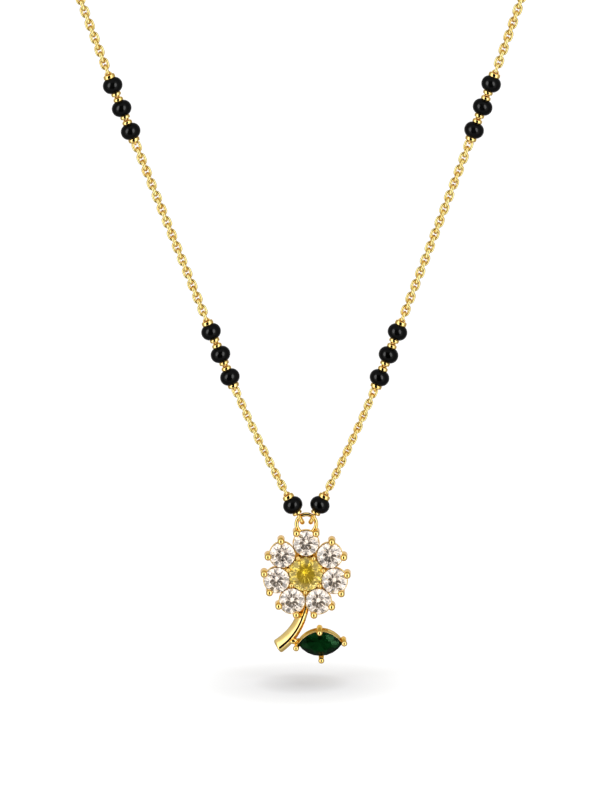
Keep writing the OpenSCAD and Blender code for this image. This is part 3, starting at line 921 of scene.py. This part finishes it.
# Rows round the stone: growth in length, growth in width, and height
LEAF_ROWS = [
    (-0.36, -0.36, -0.42), (-0.1, -0.07, -0.17), (-0.03, -0.01, -0.2), (-0.02, 0.0, -0.3),
    (-0.06, -0.04, -0.46), (-0.24, -0.19, -0.56), (-0.26, -0.2, -1.0), (-0.24, -0.18, -1.5),
    (-0.07, -0.05, -1.58), (-0.02, 0.0, -1.7), (-0.02, 0.0, -1.85), (-0.07, -0.05, -1.97),
    (-0.2, -0.16, -2.0), (-0.6, -0.36, -2.0), (-0.66, -0.42, -1.95), (-0.66, -0.42, -0.6),
]
# The prongs' tip and shaft as above, and each one's foot and the middle of its tip
LEAF_PRONG = (0.72, 0.84)
LEAF_PRONGS = [
    ((-0.04, 1.5, -1.9), (-0.04, 1.48, 0.52)),
    ((0.1, -1.46, -1.8), (0.1, -2.02, 0.3)),
    ((2.79, 0, -1.9), (2.89, 0.1, 0.42)),
    ((-2.55, 0, -1.6), (-2.9, -0.39, 0.42)),
]
LEAF_BAR_R = 0.4
LEAF_BAR_L = 1.5
LEAF_BAR_AT = (-2.05, -8.1, -0.95)
LEAF_BAR_TURN = -12


def marquise(half_l, half_w):
    """An outline of two arcs that meet in points."""
    r = (half_l ** 2 + half_w ** 2) / (2 * half_w)
    spread = math.asin(half_l / r)
    arc = []
    for j in range(LEAF_AROUND // 2):
        a = spread * (1 - 4 * j / LEAF_AROUND)
        arc.append(Vector((r * math.sin(a), r * math.cos(a) - (r - half_w), 0)))
    return arc + [-p for p in arc]


leaf = Shape()
leaf_points = []
for grow_l, grow_w, z in LEAF_ROWS:
    outline = marquise(LEAF_HALF_L + grow_l, LEAF_HALF_W + grow_w)
    leaf_points += [p + Vector((0, 0, z)) for p in outline]
leaf.add(leaf_points, grid_faces(len(LEAF_ROWS), LEAF_AROUND, closed=True), in_leaf)
for foot, tip in LEAF_PRONGS:
    reach = Vector(tip) - Vector(foot)
    turn = Vector((0, 0, 1)).rotation_difference(reach).to_matrix().to_4x4()
    leaf.add(*prong(*LEAF_PRONG, reach.length, 0.0), in_leaf @ Matrix.Translation(foot) @ turn)
in_bar = (
    Matrix.Translation(LEAF_BAR_AT)
    @ Matrix.Rotation(math.radians(LEAF_BAR_TURN), 4, "Z")
    @ Matrix.Rotation(math.radians(90), 4, "Y")
)
leaf.add(*rod(LEAF_BAR_R, 0, LEAF_BAR_L, steps=24), in_bar)
pendant_piece(leaf, "leaf_setting", bright_gold)


# The camera: it looks down a little through a long lens. From here on, distances are in metres

ELEVATION = math.radians(7.5)
ROLL = math.radians(-0.553)
# How long a pixel is at the flower, and the flower's place in the picture in pixels
PIXEL = 0.12 * MM
PHOTO_W = 600
PHOTO_H = 800
FLOWER_PIXEL = (307.0, 573.13)
CAMERA_AWAY = 2.4
SENSOR_W = 36
CLIP_FROM = 0.1
CLIP_TO = 20

base = Matrix.Rotation(math.pi / 2 - ELEVATION, 4, "X") @ Matrix.Rotation(ROLL, 4, "Z")
to_right = (base @ Vector((1, 0, 0, 0))).xyz
to_top = (base @ Vector((0, 1, 0, 0))).xyz
to_camera = (base @ Vector((0, 0, 1, 0))).xyz
aim = Vector((0, FRONT_Y, FLOWER_Z)) * MM
aim += (PHOTO_W / 2 - FLOWER_PIXEL[0]) * PIXEL * to_right
aim += (FLOWER_PIXEL[1] - PHOTO_H / 2) * PIXEL * to_top
camera_data = bpy.data.cameras.new("camera")
camera_data.sensor_width = SENSOR_W
camera_data.lens = SENSOR_W * CAMERA_AWAY / (PHOTO_H * PIXEL)
camera_data.clip_start = CLIP_FROM
camera_data.clip_end = CLIP_TO
camera = bpy.data.objects.new("camera", camera_data)
bpy.context.collection.objects.link(camera)
camera.matrix_world = Matrix.Translation(aim + CAMERA_AWAY * to_camera) @ base
bpy.context.scene.camera = camera


# The floor, with a soft shadow painted on it under the pendant

FLOOR_Z = -132.1 * MM
FLOOR_HALF = 3
FLOOR_ROUGHNESS = 0.9
# The painted shadow's middle and half size in millimetres, and its greys from the middle outwards
SHADOW_AT = (-0.7, -97.8)
SHADOW_HALF = (13, 20)
SHADOW_GREYS = [(0, (0.65, 0.65, 0.66)), (0.3, (0.74, 0.74, 0.75)), (0.46, (0.83, 0.83, 0.84)),
                (0.75, (0.885, 0.885, 0.885)), (1, (0.95, 0.95, 0.95))]

floor_corners = [
    (-FLOOR_HALF, -FLOOR_HALF, FLOOR_Z), (FLOOR_HALF, -FLOOR_HALF, FLOOR_Z),
    (FLOOR_HALF, FLOOR_HALF, FLOOR_Z), (-FLOOR_HALF, FLOOR_HALF, FLOOR_Z),
]
floor_mesh = bpy.data.meshes.new("floor")
floor_mesh.from_pydata(floor_corners, [], [[0, 1, 2, 3]])
floor_mat, floor_tree, floor_shader = new_material("floor")
floor_coord = floor_tree.nodes.new("ShaderNodeTexCoord")
floor_place = floor_tree.nodes.new("ShaderNodeMapping")
to_middle = [-at / half for at, half in zip(SHADOW_AT, SHADOW_HALF)]
floor_place.inputs["Location"].default_value = (*to_middle, 0)
floor_place.inputs["Scale"].default_value = (*(1 / (half * MM) for half in SHADOW_HALF), 0)
painted_shadow_spot = floor_tree.nodes.new("ShaderNodeVectorMath")
painted_shadow_spot.operation = "LENGTH"
floor_tree.links.new(floor_coord.outputs["Object"], floor_place.inputs["Vector"])
floor_tree.links.new(floor_place.outputs["Vector"], painted_shadow_spot.inputs[0])
# Painted shadow: the floor's colour turns grey towards the point under the pendant
painted_shadow_grey = ramp(floor_tree, painted_shadow_spot.outputs["Value"], SHADOW_GREYS)
floor_tree.links.new(painted_shadow_grey, floor_shader.inputs["Base Color"])
floor_shader.inputs["Roughness"].default_value = FLOOR_ROUGHNESS
floor_mesh.materials.append(floor_mat)
floor = bpy.data.objects.new("floor", floor_mesh)
bpy.context.collection.objects.link(floor)
floor.visible_glossy = False
floor.visible_transmission = False


# The world: plain white for the camera and for dull surfaces, and a studio for polished gold and stones. The
# studio has a black card round the lens and a bright box on either side of it

# Directions: azimuth from and to, positive to the camera's right, elevation from and to, and soft edge
CARD_WINDOW = (-33, 23, -38, 44, 6)
CARD_WINDOW_IN_STONES = (-17, 12, -18, 14, 8)
BOX_WINDOWS = ((-70, -35, -38, 54, 12), (25, 58, -38, 54, 10))
# Brightness, and the share of it that the card leaves
WHITE = 1.12
BOX_IN_GLOSS = 1.35
BOX_IN_STONES = 0.3
CARD_IN_GLOSS = 0.01
CARD_IN_STONES = 0.1
# A value from and to, and the brightness from and to that it gives
GLOSS_FRONT = (-0.4, 0.15, 0.85, 0.42)
GLOSS_BEHIND = (0.84, 0.96, 0, 0.4)
STONE_PATCHES = (0.38, 0.57, 0.5, 1.65)
PATCH_SCALE = 3.6
PATCH_DETAIL = 1.5

world = bpy.data.worlds.new("studio")
world.use_nodes = True
sky = world.node_tree
background = sky.nodes["Background"]
background.inputs["Color"].default_value = (1, 1, 1, 1)
coord = sky.nodes.new("ShaderNodeTexCoord")


def sky_dot(vector):
    """How far the direction points along a vector, from -1 to 1."""
    node = sky.nodes.new("ShaderNodeVectorMath")
    node.operation = "DOT_PRODUCT"
    node.inputs[1].default_value = vector
    sky.links.new(coord.outputs["Generated"], node.inputs[0])
    return node.outputs["Value"]


def sky_range(source, low, high, to_low, to_high):
    """From one value to another, smoothly, while the source goes from low to high."""
    node = sky.nodes.new("ShaderNodeMapRange")
    node.interpolation_type = "SMOOTHSTEP"
    for key, value in zip(("From Min", "From Max", "To Min", "To Max"), (low, high, to_low, to_high)):
        node.inputs[key].default_value = value
    sky.links.new(source, node.inputs["Value"])
    return node.outputs["Result"]


def feed(socket, value):
    """Sets a socket to a number, or links it to another socket."""
    if isinstance(value, (int, float)):
        socket.default_value = value
    else:
        sky.links.new(value, socket)


def sky_math(operation, a, b):
    """One step of arithmetic on numbers or sockets."""
    node = sky.nodes.new("ShaderNodeMath")
    node.operation = operation
    feed(node.inputs[0], a)
    feed(node.inputs[1], b)
    return node.outputs["Value"]


def either(factor, a, b):
    """The first value where the factor is 0, and the second where it is 1."""
    pick = sky.nodes.new("ShaderNodeMix")
    sky.links.new(factor, pick.inputs["Factor"])
    feed(pick.inputs["A"], a)
    feed(pick.inputs["B"], b)
    return pick.outputs["Result"]


def sky_angles():
    """The direction's azimuth to the right of the camera and its elevation, in degrees."""
    parts = sky.nodes.new("ShaderNodeSeparateXYZ")
    sky.links.new(coord.outputs["Generated"], parts.inputs["Vector"])
    around = sky_math("ARCTAN2", parts.outputs["X"], sky_math("MULTIPLY", parts.outputs["Y"], -1))
    above = sky_math("ARCSINE", parts.outputs["Z"], 0)
    return sky_math("MULTIPLY", around, math.degrees(1)), sky_math("MULTIPLY", above, math.degrees(1))


azimuth, elevation = sky_angles()


def window(low_az, high_az, low_el, high_el, soft):
    """One inside a range of directions and nothing outside it, with soft edges this many degrees wide."""
    result = 1
    for angle, low, high in ((azimuth, low_az, high_az), (elevation, low_el, high_el)):
        rise = sky_range(angle, low - soft / 2, low + soft / 2, 0, 1)
        fall = sky_range(angle, high - soft / 2, high + soft / 2, 1, 0)
        result = sky_math("MULTIPLY", result, sky_math("MULTIPLY", rise, fall))
    return result


def darkened(source, mask, dark):
    """The source, down to this share of it where the mask is one."""
    return sky_math("MULTIPLY", source, sky_range(mask, 0, 1, 1, dark))


# What gloss mirrors: pale in front, darker at the sides, and paler again straight behind the object
boxes = sky_math("ADD", window(*BOX_WINDOWS[0]), window(*BOX_WINDOWS[1]))
away = sky_dot(tuple(-to_camera))
gloss = sky_math("ADD", sky_range(away, *GLOSS_FRONT), sky_range(away, *GLOSS_BEHIND))
gloss = sky_math("ADD", gloss, sky_math("MULTIPLY", boxes, BOX_IN_GLOSS))
gloss = darkened(gloss, window(*CARD_WINDOW), CARD_IN_GLOSS)

# What the stones show from inside: broad patches of light and dark, which set the facets apart
patches = sky.nodes.new("ShaderNodeTexNoise")
patches.inputs["Scale"].default_value = PATCH_SCALE
patches.inputs["Detail"].default_value = PATCH_DETAIL
sky.links.new(coord.outputs["Generated"], patches.inputs["Vector"])
clear = sky_range(patches.outputs["Fac"], *STONE_PATCHES)
clear = sky_math("ADD", clear, sky_math("MULTIPLY", boxes, BOX_IN_STONES))
clear = darkened(clear, window(*CARD_WINDOW_IN_STONES), CARD_IN_STONES)

light_path = sky.nodes.new("ShaderNodeLightPath")
level = either(light_path.outputs["Is Transmission Ray"], gloss, clear)
open_sky = sky_math("MAXIMUM", light_path.outputs["Is Camera Ray"], light_path.outputs["Is Diffuse Ray"])
level = either(open_sky, level, WHITE)
sky.links.new(level, background.inputs["Strength"])
bpy.context.scene.world = world
bpy.context.scene.view_settings.view_transform = "Standard"


# Two soft boxes, a metre away: the beads reflect both of them and the leaf's stone the right one

# Azimuth to the camera's right, width, and the nodes that are lit
SOFT_BOXES = (
    ("left_box", -48, 0.5, BEAD_NAMES),
    ("right_box", 33, 0.46, BEAD_NAMES + ["leaf_stone"]),
)
SOFT_BOX_ELEVATION = 12
SOFT_BOX_H = 1.0
SOFT_BOX_ENERGY = 16
STRAND_MIDDLE_Z = -80

strand_middle = Vector((0, FRONT_Y, STRAND_MIDDLE_Z)) * MM
for name, box_azimuth, width, lit in SOFT_BOXES:
    receivers = bpy.data.collections.new(name)
    for node in lit:
        receivers.objects.link(nodes[node])
    a = math.radians(box_azimuth)
    e = math.radians(SOFT_BOX_ELEVATION)
    toward = Vector((math.sin(a) * math.cos(e), -math.cos(a) * math.cos(e), math.sin(e)))
    light = bpy.data.lights.new(name, "AREA")
    light.shape = "ELLIPSE"
    light.size = width
    light.size_y = SOFT_BOX_H
    light.energy = SOFT_BOX_ENERGY
    light_obj = bpy.data.objects.new(name, light)
    bpy.context.collection.objects.link(light_obj)
    facing = toward.to_track_quat("Z", "Y").to_matrix().to_4x4()
    light_obj.matrix_world = Matrix.Translation(strand_middle + toward) @ facing
    light_obj.visible_camera = False
    light_obj.visible_transmission = False
    light_obj.light_linking.receiver_collection = receivers
